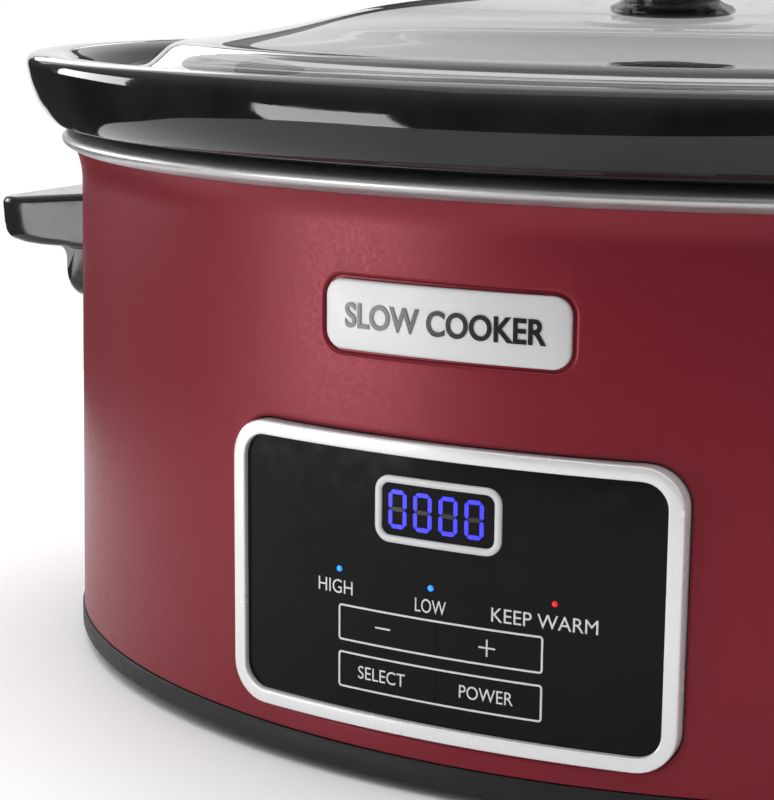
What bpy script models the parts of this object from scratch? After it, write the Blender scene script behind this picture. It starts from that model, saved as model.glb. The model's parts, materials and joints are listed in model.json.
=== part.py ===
"""Oval digital slow cooker: steel housing, heating pan, lift-out stoneware crock, glass lid and key panel.

Every size and place below is in millimetres; MM turns them into metres when a mesh is made.
The origin is the middle of the footprint on the table. +X runs along the oval, -Y is the front
with the key panel, and +Z is up. An oval piece is turned from (grow, height) points, where grow
is the distance outside the housing's lower edge.
"""

import math

import bmesh
import bpy

MM = 0.001
GAP = 0.3
SEGMENTS = 52

# Housing and base
HALF_LENGTH = 180.0
HALF_WIDTH = 142.0
FOOT_HEIGHT = 3.0
BASE_TOP = 9.0
FLOOR_TOP = 5.5
HOUSING_BOTTOM = BASE_TOP + GAP
HOUSING_TOP = 146.4
WALL = 1.6
WALL_LEAN = 1.9
RING_TOP = 153.0

# Heating pan
PAN_BOTTOM = 26.0
PAN_GROW = -16.0
PAN_WALL = 1.0
PAN_FLANGE_TOP = 149.6
BAND_LOW = 42.0
BAND_HIGH = 78.0
BAND_THICK = 2.4

# Crock
CROCK_BOTTOM = 31.0
CROCK_FLOOR = 39.0
RIM_GROW = 13.9
RIM_TOP = 174.0
LEDGE_TOP = 165.6
LEDGE_INNER = -23.0

# Lid and knob
LID_GROW = -14.0
GLASS = 4.0
LID_EDGE_LOW = LEDGE_TOP + GAP
LID_CREST_RADIUS = 25.0
LID_CREST = 193.2
LID_SHOULDER = [(0.935, 171.3), (0.902, 175.0), (0.885, 176.3), (0.862, 177.0)]
LID_SWEEP = [(0.8, 177.7), (0.62, 181.9), (0.42, 187.8), (0.2, 191.5), (0.06, 192.85)]
RECESS_RADIUS = 16.5
RECESS_TOP = 186.1
KNOB_HOLE = 3.2
KNOB_FOOT = 4.5
KNOB_FLANGE = 18.6
KNOB_RADIUS = 19.0
KNOB_TOP = 223.0

# Key panel, measured from its middle; depth runs inwards from its front surface
PANEL_FRONT = HALF_WIDTH + 0.1
PANEL_BEND = 286.0
PANEL_WIDTH = 120.8
PANEL_HEIGHT = 73.7
PANEL_MIDDLE = 51.65
PANEL_CORNER = 10.0
BEZEL_BAR = 3.7
FASCIA_FRONT = 0.6
FASCIA_THICK = 2.0
KEY_WIDTH = 26.9
KEY_HEIGHT = 8.0
KEY_MIDDLES = {"minus_key": (-13.6, 40.5), "plus_key": (13.6, 40.5),
               "select_key": (-13.6, 28.45), "power_key": (13.6, 28.45)}
KEY_TRAVEL = 0.5
LAMP_PLACES = {"high_lamp": (-27.6, 53.9), "low_lamp": (-1.7, 52.9), "warm_lamp": (30.2, 53.3)}
LAMP_RADIUS = 0.75
DISPLAY_WIDTH = 33.8
DISPLAY_HEIGHT = 16.6
DISPLAY_MIDDLE = 71.3
DISPLAY_CORNER = 4.0
DISPLAY_BAR = 1.75
BOARD_DEPTH = 9.0
BOARD_THICK = 1.6

# Name plate
PLATE_WIDTH = 64.5
PLATE_HEIGHT = 17.1
PLATE_MIDDLE = 117.3
PLATE_CORNER = 4.5
POCKET_BORDER = 1.3
POCKET_DEPTH = 0.8

# Handles
HANDLE_REACH = 29.0
HANDLE_HALF = 46.0
HANDLE_CORNER = 12.0
HANDLE_TOP = 129.0
HANDLE_LIP = 126.3
HANDLE_LOW = 112.5
FLANGE_LOW = 96.5
FLANGE_HALF = 42.0
FLANGE_REACH = 1.5
HANDLE_SCREW_SIDE = 25.0
HANDLE_SCREW_HEIGHT = 119.0

# Feet, posts and fasteners
FOOT_PLACE = (118.0, 78.0)
FOOT_RADIUS = 9.0
POST_PLACE = (75.0, 52.0)
POST_RADIUS = 4.5
SCREW_SHANK = 1.8
SCREW_HOLE = 2.3
SCREW_HEAD = 3.6
GLAND_HEIGHT = 26.0
GLAND_HOLE = 6.5

BLACK = (0.012, 0.012, 0.013)
FINISHES = {
    "red_steel": ((0.17, 0.018, 0.030), 0.38, 0.75),
    "satin_steel": ((0.55, 0.55, 0.56), 0.30, 1.0),
    "chrome": ((0.78, 0.78, 0.80), 0.08, 1.0),
    "bare_steel": ((0.42, 0.42, 0.43), 0.40, 1.0),
    "black_glaze": (BLACK, 0.06, 0.0),
    "clear_glass": ((0.80, 0.82, 0.82), 0.02, 0.0),
    "black_gloss": ((0.016, 0.016, 0.017), 0.15, 0.0),
    "black_matt": ((0.020, 0.020, 0.021), 0.55, 0.0),
    "rubber": ((0.025, 0.025, 0.025), 0.85, 0.0),
    "silver_plate": ((0.62, 0.62, 0.63), 0.25, 0.9),
    "board_green": ((0.020, 0.120, 0.060), 0.50, 0.0),
    "relay_blue": ((0.020, 0.080, 0.350), 0.40, 0.0),
    "copper_tape": ((0.45, 0.32, 0.16), 0.45, 0.3),
    "lamp_blue": ((0.05, 0.25, 0.90), 0.25, 0.0),
    "lamp_red": ((0.60, 0.02, 0.01), 0.25, 0.0),
    "white_plastic": ((0.70, 0.70, 0.66), 0.50, 0.0),
}


def clear_scene():
    for obj in list(bpy.data.objects):
        bpy.data.objects.remove(obj, do_unlink=True)


def finish(name):
    """A Principled material with the finish's colour, roughness and metallic value."""
    material = bpy.data.materials.get(name)
    if material is None:
        material = bpy.data.materials.new(name)
        material.use_nodes = True
        colour, roughness, metallic = FINISHES[name]
        shader = material.node_tree.nodes["Principled BSDF"]
        shader.inputs["Base Color"].default_value = (*colour, 1.0)
        shader.inputs["Roughness"].default_value = roughness
        shader.inputs["Metallic"].default_value = metallic
        material.diffuse_color = (*colour, 1.0)
    return material


def solid(name, points, faces, finish_name):
    """A named object from points in millimetres, its faces turned outwards and its curves smooth."""
    mesh = bpy.data.meshes.new(name)
    mesh.from_pydata([[value * MM for value in point] for point in points], [], faces)
    shape = bmesh.new()
    shape.from_mesh(mesh)
    bmesh.ops.recalc_face_normals(shape, faces=shape.faces)
    shape.to_mesh(mesh)
    shape.free()
    mesh.shade_smooth()
    mesh.set_sharp_from_angle(angle=math.radians(35))
    obj = bpy.data.objects.new(name, mesh)
    bpy.context.scene.collection.objects.link(obj)
    if finish_name:
        mesh.materials.append(finish(finish_name))
    return obj


def loft(name, rings, finish_name, closed=False):
    """Skins rings of equal point counts; closed joins the last to the first, otherwise the ends are capped."""
    count = len(rings[0])
    points = [point for ring in rings for point in ring]
    faces = []
    steps = len(rings) if closed else len(rings) - 1
    for step in range(steps):
        low = step * count
        high = (step + 1) % len(rings) * count
        for index in range(count):
            after = (index + 1) % count
            faces.append((low + index, low + after, high + after, high + index))
    if not closed:
        faces.append(tuple(range(count - 1, -1, -1)))
        faces.append(tuple(range((len(rings) - 1) * count, len(rings) * count)))
    return solid(name, points, faces, finish_name)


def oval_ring(half_length, half_width, height):
    ring = []
    for index in range(SEGMENTS):
        angle = 2 * math.pi * index / SEGMENTS
        ring.append((half_length * math.cos(angle), half_width * math.sin(angle), height))
    return ring


def oval(name, profile, finish_name, closed=False):
    rings = [oval_ring(HALF_LENGTH + grow, HALF_WIDTH + grow, height) for grow, height in profile]
    return loft(name, rings, finish_name, closed)


def turned(name, profile, centre, axis, finish_name, sides=24, closed=False):
    """A piece turned about axis ("x", "y" or "z") through centre, from (radius, place) points."""
    rings = []
    for radius, place in profile:
        ring = []
        for index in range(sides):
            angle = 2 * math.pi * (index + 0.5) / sides
            across = radius * math.cos(angle)
            along = radius * math.sin(angle)
            offset = {"x": (place, across, along), "y": (across, place, along), "z": (across, along, place)}
            ring.append(tuple(a + b for a, b in zip(centre, offset[axis])))
        rings.append(ring)
    return loft(name, rings, finish_name, closed)


def block(name, low, high, finish_name, bevel=0.0):
    """A box between two corners, with its edges bevelled."""
    rings = []
    for height in (low[2], high[2]):
        rings.append([(low[0], low[1], height), (high[0], low[1], height),
                      (high[0], high[1], height), (low[0], high[1], height)])
    obj = loft(name, rings, finish_name)
    if bevel:
        edge = obj.modifiers.new("edges", "BEVEL")
        edge.width = bevel * MM
        edge.segments = 2
        edge.limit_method = "ANGLE"
    return obj


def rounded_outline(width, height, radius, middle, corner_steps=4, edge_steps=1):
    """(x, z) points around a rounded rectangle; edge_steps splits its long sides so that it can bend."""
    outline = []
    corners = ((1, -1, -90), (1, 1, 0), (-1, 1, 90), (-1, -1, 180))
    for side, rise, start in corners:
        centre_x = side * (width / 2 - radius)
        centre_z = middle + rise * (height / 2 - radius)
        for step in range(corner_steps + 1):
            angle = math.radians(start + 90 * step / corner_steps)
            outline.append((centre_x + radius * math.cos(angle), centre_z + radius * math.sin(angle)))
        if side == rise:
            span = width - 2 * radius
            edge_z = middle + rise * height / 2
            for step in range(1, edge_steps):
                outline.append((side * (width / 2 - radius - span * step / edge_steps), edge_z))
    return outline


def panel_y(x, depth=0.0):
    """The panel's front surface at x, a shallow arc, moved inwards by depth."""
    return -PANEL_FRONT + x * x / (2 * PANEL_BEND) + depth


def wall_y(x, depth=0.0):
    """The housing's front surface at x at the name plate's height, moved inwards by depth."""
    lean = WALL_LEAN * (PLATE_MIDDLE - HOUSING_BOTTOM) / (HOUSING_TOP - HOUSING_BOTTOM)
    half_length = HALF_LENGTH - lean
    return -(HALF_WIDTH - lean) * math.sqrt(1 - (x / half_length) ** 2) + depth


def bent_plate(name, width, height, radius, middle, near, far, surface, finish_name):
    """A rounded plate between two depths behind a curved surface, made in upright strips."""
    straight = width / 2 - radius
    places = [-straight * (1 - step / 6) for step in range(13)]
    turn = [radius * math.sin(math.radians(30 * step)) for step in (3, 2, 1)]
    places = [-straight - reach for reach in turn] + places + [straight + reach for reach in reversed(turn)]
    points = []
    for x in places:
        reach = max(abs(x) - straight, 0.0)
        half = height / 2 - radius + math.sqrt(max(radius * radius - reach * reach, 0.0))
        for depth in (near, far):
            points.append((x, surface(x, depth), middle - half))
            points.append((x, surface(x, depth), middle + half))
    faces = []
    for step in range(len(places) - 1):
        here = step * 4
        for first, second in ((0, 1), (1, 3), (3, 2), (2, 0)):
            faces.append((here + first, here + second, here + 4 + second, here + 4 + first))
    last = (len(places) - 1) * 4
    faces.append((0, 2, 3, 1))
    faces.append((last, last + 1, last + 3, last + 2))
    return solid(name, points, faces, finish_name)


def upright_prism(name, outline, front, back, finish_name=None):
    """An (x, z) outline drawn out along Y between front and back."""
    rings = [[(x, y, z) for x, z in outline] for y in (front, back)]
    return loft(name, rings, finish_name)


def combine(target, other, operation):
    other.hide_render = True
    other.display_type = "WIRE"
    step = target.modifiers.new(other.name, "BOOLEAN")
    step.operation = operation
    step.object = other


def cut(target, cutter):
    combine(target, cutter, "DIFFERENCE")


def add_carrier(name, place, parent=None):
    """An empty on a joint's axis, which the moving pieces hang from."""
    empty = bpy.data.objects.new(name, None)
    bpy.context.scene.collection.objects.link(empty)
    empty.location = [value * MM for value in place]
    bpy.context.view_layer.update()
    if parent:
        hang(empty, parent)
    return empty


def hang(obj, carrier):
    bpy.context.view_layer.update()
    obj.parent = carrier
    obj.matrix_parent_inverse = carrier.matrix_world.inverted()
    bpy.context.view_layer.update()


def add_housing():
    """The painted steel sleeve: a slight lean inwards, then a flare that carries the rim."""
    outer = [(0.0, HOUSING_BOTTOM), (-WALL_LEAN, 138.0), (-1.7, 141.0), (-1.1, 143.6), (0.0, HOUSING_TOP)]
    inner = [(grow - WALL, height) for grow, height in reversed(outer)]
    housing = oval("outer_housing", outer + inner, "red_steel", closed=True)
    opening = rounded_outline(PANEL_WIDTH + 2 * GAP, PANEL_HEIGHT + 2 * GAP, PANEL_CORNER + GAP, PANEL_MIDDLE)
    cut(housing, upright_prism("panel_opening", opening, -HALF_WIDTH - 20, -HALF_WIDTH + 30))
    pocket = bent_plate("name_plate_pocket", PLATE_WIDTH + 2 * POCKET_BORDER, PLATE_HEIGHT + 2 * POCKET_BORDER,
                        PLATE_CORNER + POCKET_BORDER, PLATE_MIDDLE, -6.0, POCKET_DEPTH, wall_y, None)
    cut(housing, pocket)
    for side in (-1, 1):
        for end in (-1, 1):
            centre = (side * HALF_LENGTH, end * HANDLE_SCREW_SIDE, HANDLE_SCREW_HEIGHT)
            hole = turned(f"wall_hole_{side}_{end}", [(SCREW_HOLE, -12), (SCREW_HOLE, 12)], centre, "x", None, 12)
            cut(housing, hole)
    gland_hole = turned("gland_hole", [(GLAND_HOLE + GAP, -9), (GLAND_HOLE + GAP, 9)],
                        (0, HALF_WIDTH, GLAND_HEIGHT), "y", None, 20)
    cut(housing, gland_hole)


def add_rim():
    """The satin steel ring that caps the housing and covers the pan's flange."""
    profile = [(-0.9, HOUSING_TOP + GAP), (0.4, 147.0), (2.6, 148.8), (4.6, 151.0), (4.7, 152.2), (3.6, RING_TOP),
               (PAN_GROW + 0.5, RING_TOP), (PAN_GROW + 0.5, PAN_FLANGE_TOP + GAP), (-0.9, PAN_FLANGE_TOP + GAP)]
    oval("housing_rim", profile, "satin_steel", closed=True)


def add_base():
    """The black base tray, with vent slots, foot sockets and screw holes through its floor."""
    profile = [(0.0, FOOT_HEIGHT), (0.6, 3.9), (0.6, BASE_TOP), (-2.4, BASE_TOP), (-2.4, 14.2),
               (-4.2, 14.2), (-4.2, FLOOR_TOP)]
    base = oval("base_tray", profile, "black_matt")
    for index in range(7):
        x = (index - 3) * 12.0
        slot = block(f"vent_slot_{index}", (x - 2, -24, 0), (x + 2, 24, 8), None)
        cut(base, slot)
    for side in (-1, 1):
        for end in (-1, 1):
            foot_hole = turned(f"foot_hole_{side}_{end}", [(3.3, -1), (3.3, 5)],
                               (side * FOOT_PLACE[0], end * FOOT_PLACE[1], FOOT_HEIGHT), "z", None, 12)
            cut(base, foot_hole)
            screw_hole = turned(f"screw_hole_{side}_{end}", [(SCREW_HOLE, -1), (SCREW_HOLE, 5)],
                                (side * POST_PLACE[0], end * POST_PLACE[1], FOOT_HEIGHT), "z", None, 12)
            cut(base, screw_hole)


def corner_names(stem):
    """Names and signs of four copies, one at each corner of the base."""
    return [(f"{stem}_{'front' if end < 0 else 'rear'}_{'left' if side < 0 else 'right'}", side, end)
            for side in (-1, 1) for end in (-1, 1)]


def add_feet():
    for name, side, end in corner_names("foot"):
        profile = [(FOOT_RADIUS - 1, 0), (FOOT_RADIUS, 1), (FOOT_RADIUS, FOOT_HEIGHT - GAP),
                   (2.9, FOOT_HEIGHT - GAP), (2.9, 6.6), (2.2, 7.4)]
        turned(name, profile, (side * FOOT_PLACE[0], end * FOOT_PLACE[1], 0), "z", "rubber")


def add_posts():
    """Tube posts between base and pan, with the screws that pull the base up against them."""
    for name, side, end in corner_names("post"):
        centre = (side * POST_PLACE[0], end * POST_PLACE[1], 0)
        low = FLOOR_TOP + GAP
        high = PAN_BOTTOM - GAP
        profile = [(SCREW_HOLE, low), (POST_RADIUS, low), (POST_RADIUS, high), (SCREW_HOLE, high)]
        turned(name, profile, centre, "z", "bare_steel", 16, closed=True)
    for name, side, end in corner_names("base_screw"):
        centre = (side * POST_PLACE[0], end * POST_PLACE[1], 0)
        profile = [(2.6, 0.9), (SCREW_HEAD, 1.5), (SCREW_HEAD, FOOT_HEIGHT - GAP),
                   (SCREW_SHANK, FOOT_HEIGHT - GAP), (SCREW_SHANK, 18.0)]
        turned(name, profile, centre, "z", "bare_steel", 16)


def add_pan():
    """The steel heating pan that the crock stands in, hung from the rim by its flange."""
    inner = PAN_GROW - PAN_WALL
    profile = [(PAN_GROW - 6, PAN_BOTTOM), (PAN_GROW - 1.5, 27.6), (PAN_GROW, 32.0),
               (PAN_GROW, PAN_FLANGE_TOP - PAN_WALL), (-3.0, PAN_FLANGE_TOP - PAN_WALL), (-3.0, PAN_FLANGE_TOP),
               (inner, PAN_FLANGE_TOP), (inner, 32.4), (inner - 1.4, 28.5), (inner - 5, PAN_BOTTOM + PAN_WALL)]
    oval("inner_liner", profile, "bare_steel")


def add_heater():
    """The heating band round the pan, its clamp and screw, and the two parts that sense the heat."""
    low = PAN_GROW + GAP
    high = low + BAND_THICK
    oval("heating_band", [(low, BAND_LOW), (high, BAND_LOW), (high, BAND_HIGH), (low, BAND_HIGH)],
         "copper_tape", closed=True)
    band_y = HALF_WIDTH + high + GAP
    middle = (BAND_LOW + BAND_HIGH) / 2
    clamp = block("band_clamp", (-9, band_y, middle - 12), (9, band_y + 7.5, middle + 12), "bare_steel")
    cut(clamp, block("clamp_slot", (-4, band_y + 1.5, middle - 20), (4, band_y + 20, middle + 20), None))
    centre = (0, band_y + 4.5, middle)
    cut(clamp, turned("clamp_hole", [(SCREW_HOLE, -20), (SCREW_HOLE, 20)], centre, "x", None, 12))
    screw_profile = [(3.0, -12.4), (3.0, -9.3), (SCREW_SHANK, -9.3), (SCREW_SHANK, 13.0)]
    turned("clamp_screw", screw_profile, centre, "x", "bare_steel", 12)
    turned("temperature_sensor", [(6.0, 19.0), (7.0, 20.0), (7.0, PAN_BOTTOM - GAP)], (0, 0, 0), "z",
           "satin_steel")
    turned("thermal_fuse", [(1.2, -9), (2.4, -7), (2.4, 7), (1.2, 9)], (38, 0, PAN_BOTTOM - 3), "x",
           "white_plastic", 14)


def add_power_parts():
    """The mains side of the electronics, on a board over the base floor."""
    board_low = 9.0
    board_top = board_low + BOARD_THICK
    part_low = board_top + GAP
    block("power_board", (-140, -28, board_low), (-90, 28, board_top), "board_green")
    block("power_relay", (-136, -24, part_low), (-117, -8, part_low + 10.5), "relay_blue", 0.6)
    block("transformer", (-136, 2, part_low), (-112, 22, part_low + 11), "copper_tape", 0.6)
    turned("smoothing_capacitor", [(4.0, -7), (4.5, -6.4), (4.5, 6.4), (4.0, 7)],
           (-102, 14, part_low + 4.6), "y", "black_gloss", 18)
    for end in (-1, 1):
        name = "board_stand_front" if end < 0 else "board_stand_rear"
        profile = [(3.0, FLOOR_TOP + GAP), (3.0, board_low - GAP)]
        turned(name, profile, (-115, end * 22, 0), "z", "white_plastic", 12)


def add_panel_frame():
    """The chrome bezel, the black fascia with its key and display openings, and the display's trim."""
    sections = [(0.0, 3.0), (0.0, -0.2), (0.8, -1.0), (BEZEL_BAR - 0.8, -1.0), (BEZEL_BAR, -0.2), (BEZEL_BAR, 3.0)]
    rings = []
    for inset, depth in sections:
        outline = rounded_outline(PANEL_WIDTH - 2 * inset, PANEL_HEIGHT - 2 * inset, PANEL_CORNER - inset,
                                  PANEL_MIDDLE, 5, 12)
        rings.append([(x, panel_y(x, depth), z) for x, z in outline])
    loft("panel_bezel", rings, "chrome", closed=True)

    inset = BEZEL_BAR + GAP
    fascia = bent_plate("control_fascia", PANEL_WIDTH - 2 * inset, PANEL_HEIGHT - 2 * inset, PANEL_CORNER - inset,
                        PANEL_MIDDLE, FASCIA_FRONT, FASCIA_FRONT + FASCIA_THICK, panel_y, "black_gloss")
    front = -PANEL_FRONT - 5
    back = -PANEL_FRONT + 15
    for name, (x, z) in KEY_MIDDLES.items():
        if x < 0:
            half_width = KEY_WIDTH - x - KEY_WIDTH / 2 + GAP
            low = (-half_width, front, z - KEY_HEIGHT / 2 - GAP)
            high = (half_width, back, z + KEY_HEIGHT / 2 + GAP)
            cut(fascia, block(f"{name}_opening", low, high, None))
    window = rounded_outline(27.6, 10.6, 1.0, DISPLAY_MIDDLE, 2)
    cut(fascia, upright_prism("display_opening", window, front, back))
    for name, (x, z) in LAMP_PLACES.items():
        hole = turned(f"{name}_hole", [(LAMP_RADIUS + GAP, -8), (LAMP_RADIUS + GAP, 12)],
                      (x, panel_y(x), z), "y", None, 12)
        cut(fascia, hole)

    rings = []
    trim_front = FASCIA_FRONT - GAP - 0.5
    trim_back = FASCIA_FRONT - GAP
    for inset, depth in ((0.0, trim_back), (0.0, trim_front), (DISPLAY_BAR, trim_front), (DISPLAY_BAR, trim_back)):
        outline = rounded_outline(DISPLAY_WIDTH - 2 * inset, DISPLAY_HEIGHT - 2 * inset, DISPLAY_CORNER - inset,
                                  DISPLAY_MIDDLE, 3, 5)
        rings.append([(x, panel_y(x, depth), z) for x, z in outline])
    loft("display_frame", rings, "silver_plate", closed=True)


def add_panel_electronics():
    """The board behind the fascia, with the display, the lamps and a switch behind each key."""
    board_y = -PANEL_FRONT + BOARD_DEPTH
    block("control_board", (-42, board_y, 21.0), (42, board_y + BOARD_THICK, 82.0), "board_green")
    block("display_module", (-13.5, -PANEL_FRONT + FASCIA_FRONT + 0.9, DISPLAY_MIDDLE - 5.0),
          (13.5, board_y - GAP, DISPLAY_MIDDLE + 5.0), "black_gloss", 0.2)
    for name, (x, z) in LAMP_PLACES.items():
        colour = "lamp_red" if name == "warm_lamp" else "lamp_blue"
        tip = panel_y(x, FASCIA_FRONT - 0.1)
        profile = [(LAMP_RADIUS * 0.6, tip - 0.2), (LAMP_RADIUS, tip), (LAMP_RADIUS, board_y - GAP)]
        turned(name, profile, (x, 0, z), "y", colour, 12)
    for name, (x, z) in KEY_MIDDLES.items():
        low = board_y - GAP - 3.0
        switch = block(name.replace("key", "switch"), (x - 3, low, z - 3), (x + 3, board_y - GAP, z + 3),
                       "black_matt")
        plunger = turned(f"{name}_plunger", [(1.5, low - 0.5), (1.5, low + 1)], (x, 0, z), "y", None, 12)
        combine(switch, plunger, "UNION")


def add_keys():
    """Four flush key caps; each slides straight back onto its switch."""
    plunger_y = -PANEL_FRONT + BOARD_DEPTH - GAP - 3.5
    stem_end = plunger_y - KEY_TRAVEL - 0.15
    for name, (x, z) in KEY_MIDDLES.items():
        cap_front = panel_y(x, FASCIA_FRONT - 0.05)
        cap = block(name, (x - KEY_WIDTH / 2, cap_front, z - KEY_HEIGHT / 2),
                    (x + KEY_WIDTH / 2, cap_front + 1.6, z + KEY_HEIGHT / 2), "black_gloss")
        stem = turned(f"{name}_stem", [(1.5, cap_front + 1.0), (1.5, stem_end)], (x, 0, z), "y", None, 12)
        combine(cap, stem, "UNION")
        hang(cap, add_carrier(f"{name}_travel", (x, cap_front, z)))


def add_name_plate():
    """A plain bright plate in the housing's shallow pocket."""
    bent_plate("name_plate", PLATE_WIDTH, PLATE_HEIGHT, PLATE_CORNER, PLATE_MIDDLE,
               POCKET_DEPTH - GAP - 1.0, POCKET_DEPTH - GAP, wall_y, "silver_plate")


def plan_outline(half, corner, outer, inner):
    """(x, y) points of a grip seen from above: straight at the wall, rounded at its outer corners."""
    outline = [(inner, -half)]
    for end, start in ((-1, -90), (1, 0)):
        for step in range(5):
            angle = math.radians(start + 22.5 * step)
            outline.append((outer - corner + corner * math.cos(angle),
                            end * (half - corner) + corner * math.sin(angle)))
    outline.append((inner, half))
    return outline


def add_handle(name, side):
    """A moulded grip: a ledge that sticks out from the end wall, and a flange below it on the wall."""
    inner = HALF_LENGTH - 14.0
    outer = HALF_LENGTH + HANDLE_REACH
    rings = []
    for pull, low, reach in ((0.0, True, 2.0), (1.0, True, 0.0), (1.0, False, 0.0), (0.0, False, 1.4)):
        ring = []
        for x, y in plan_outline(HANDLE_HALF - reach, HANDLE_CORNER - reach, outer - reach, inner):
            slope = (x - HALF_LENGTH) / HANDLE_REACH
            top = HANDLE_TOP - (HANDLE_TOP - HANDLE_LIP) * slope
            height = HANDLE_LOW + 2.0 * pull if low else top - 1.4 * pull
            ring.append((side * x, y, height))
        rings.append(ring)
    grip = loft(name, rings, "black_gloss")
    flange_rings = []
    flange_outer = HALF_LENGTH + FLANGE_REACH
    for height, reach in ((FLANGE_LOW, 2.5), (FLANGE_LOW + 2.5, 0.0), (HANDLE_LOW + 4.0, 0.0)):
        plan = plan_outline(FLANGE_HALF - reach, 5.0 - reach, flange_outer - reach, inner)
        flange_rings.append([(side * x, y, height) for x, y in plan])
    combine(grip, loft(f"{name}_flange", flange_rings, None), "UNION")
    wall = oval(f"{name}_wall_space", [(GAP, 0.0), (GAP, 170.0)], None)
    cut(grip, wall)
    for end in (-1, 1):
        centre = (side * HALF_LENGTH, end * HANDLE_SCREW_SIDE, HANDLE_SCREW_HEIGHT)
        profile = [(SCREW_HOLE, -14), (SCREW_HOLE, 14)]
        cut(grip, turned(f"{name}_hole_{end}", profile, centre, "x", None, 12))
        place = "front" if end < 0 else "rear"
        head = side * (-10.4)
        seat = side * (-7.6)
        tip = side * 12.0
        screw = [(SCREW_HEAD, head), (SCREW_HEAD, seat), (SCREW_SHANK, seat), (SCREW_SHANK, tip)]
        turned(f"{name}_screw_{place}", screw, centre, "x", "bare_steel", 12)


def add_gland():
    """The bush at the rear that a mains lead would pass through; no lead is fitted."""
    bore = 3.6
    profile = [(bore, 2.4), (GLAND_HOLE + 2.5, 2.4), (GLAND_HOLE + 2.5, GAP), (GLAND_HOLE, GAP),
               (GLAND_HOLE, -5.0), (bore, -5.0)]
    turned("cord_gland", profile, (0, HALF_WIDTH, GLAND_HEIGHT), "y", "black_matt", 20, closed=True)


def add_crock():
    """The stoneware crock: a wide rim that rests on the ring, and a ledge inside it for the lid."""
    outer = [(-42.0, CROCK_BOTTOM), (-31.0, 31.6), (-26.0, 36.0), (-23.4, 46.0), (-19.6, 120.0),
             (-18.8, RING_TOP + GAP)]
    rim = [(3.9, RING_TOP + GAP), (7.2, 156.2), (10.6, 161.6), (12.7, 167.2), (RIM_GROW, 171.6),
           (RIM_GROW - 0.3, 173.0), (RIM_GROW - 2.6, RIM_TOP), (3.0, RIM_TOP - 0.3), (-0.4, 172.4),
           (-2.0, 169.6), (-3.0, 166.6), (-5.0, LEDGE_TOP)]
    inner = [(LEDGE_INNER, LEDGE_TOP), (-25.2, 163.4), (-27.4, 120.0), (-30.6, 52.0), (-34.0, 44.0),
             (-44.0, CROCK_FLOOR)]
    crock = oval("crock", outer + rim + inner, "black_glaze")
    carrier = add_carrier("crock_lift", (0, 0, CROCK_BOTTOM))
    hang(crock, carrier)
    return carrier


def lid_rings(profile):
    """Rings that pass from the lid's oval edge to a circle in the middle; profile gives (share, height).

    share is 1 at the lid's edge and 0 at the crest circle; below 0 it is minus the circle's radius.
    """
    rings = []
    for share, height in profile:
        if share >= 0:
            half_length = LID_CREST_RADIUS + share * (HALF_LENGTH + LID_GROW - LID_CREST_RADIUS)
            half_width = LID_CREST_RADIUS + share * (HALF_WIDTH + LID_GROW - LID_CREST_RADIUS)
        else:
            half_length = -share
            half_width = -share
        rings.append(oval_ring(half_length, half_width, height))
    return rings


def add_lid(crock_carrier):
    """The pressed glass lid with its recessed middle, and the knob that is screwed through it."""
    top = [(1.0, LID_EDGE_LOW + 1.2), (1.0, LID_EDGE_LOW + GLASS - 1.0), (0.985, LID_EDGE_LOW + GLASS),
           (0.955, LID_EDGE_LOW + GLASS + 0.2), *LID_SHOULDER, *LID_SWEEP, (0.0, LID_CREST), (-22.8, 192.6),
           (-21.0, 190.6), (-19.8, 188.4), (-18.4, 186.7), (-RECESS_RADIUS, RECESS_TOP),
           (-KNOB_HOLE, RECESS_TOP)]
    under = [(-KNOB_HOLE, RECESS_TOP - GLASS), (-14.0, RECESS_TOP - GLASS), (-18.6, 182.9), (-21.6, 184.4),
             (-22.9, 186.4), (-24.0, 188.2), (-27.5, 189.1)]
    under += [(share, height - GLASS) for share, height in reversed(LID_SWEEP)]
    under += [(0.85, 172.4), (0.88, 171.0), (0.925, 166.8), (0.95, LID_EDGE_LOW), (0.985, LID_EDGE_LOW)]
    lid = loft("glass_lid", lid_rings(top + under), "clear_glass", closed=True)
    low = RECESS_TOP + GAP
    washer_top = low + 0.9
    washer = turned("knob_washer", [(KNOB_HOLE, low), (KNOB_FOOT, low), (KNOB_FOOT, washer_top),
                                    (KNOB_HOLE, washer_top)],
                    (0, 0, 0), "z", "rubber", 24, closed=True)
    neck_low = washer_top + GAP
    knob_profile = [(KNOB_FOOT, neck_low), (KNOB_FOOT, neck_low + 1.0), (KNOB_FLANGE - 0.8, neck_low + 1.0),
                    (KNOB_FLANGE, neck_low + 1.8), (KNOB_FLANGE, neck_low + 3.0), (15.0, neck_low + 5.0),
                    (12.6, neck_low + 9.0), (12.6, neck_low + 15.0), (16.8, neck_low + 20.0),
                    (KNOB_RADIUS, neck_low + 24.0),
                    (KNOB_RADIUS - 0.8, KNOB_TOP - 7.0), (15.5, KNOB_TOP - 2.6), (9.0, KNOB_TOP - 0.4),
                    (3.0, KNOB_TOP)]
    knob = turned("lid_knob", knob_profile, (0, 0, 0), "z", "black_gloss", 32)
    bore = turned("knob_bore", [(2.3, neck_low - 5), (2.3, neck_low + 15)], (0, 0, 0), "z", None, 12)
    cut(knob, bore)
    head_top = RECESS_TOP - GLASS - GAP
    screw = turned("knob_screw", [(3.0, head_top - 1.8), (4.3, head_top - 1.2), (4.3, head_top), (1.9, head_top),
                                  (1.9, neck_low + 13)], (0, 0, 0), "z", "black_gloss", 16)
    carrier = add_carrier("lid_lift", (0, 0, LID_EDGE_LOW), crock_carrier)
    for piece in (lid, washer, knob, screw):
        hang(piece, carrier)


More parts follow.
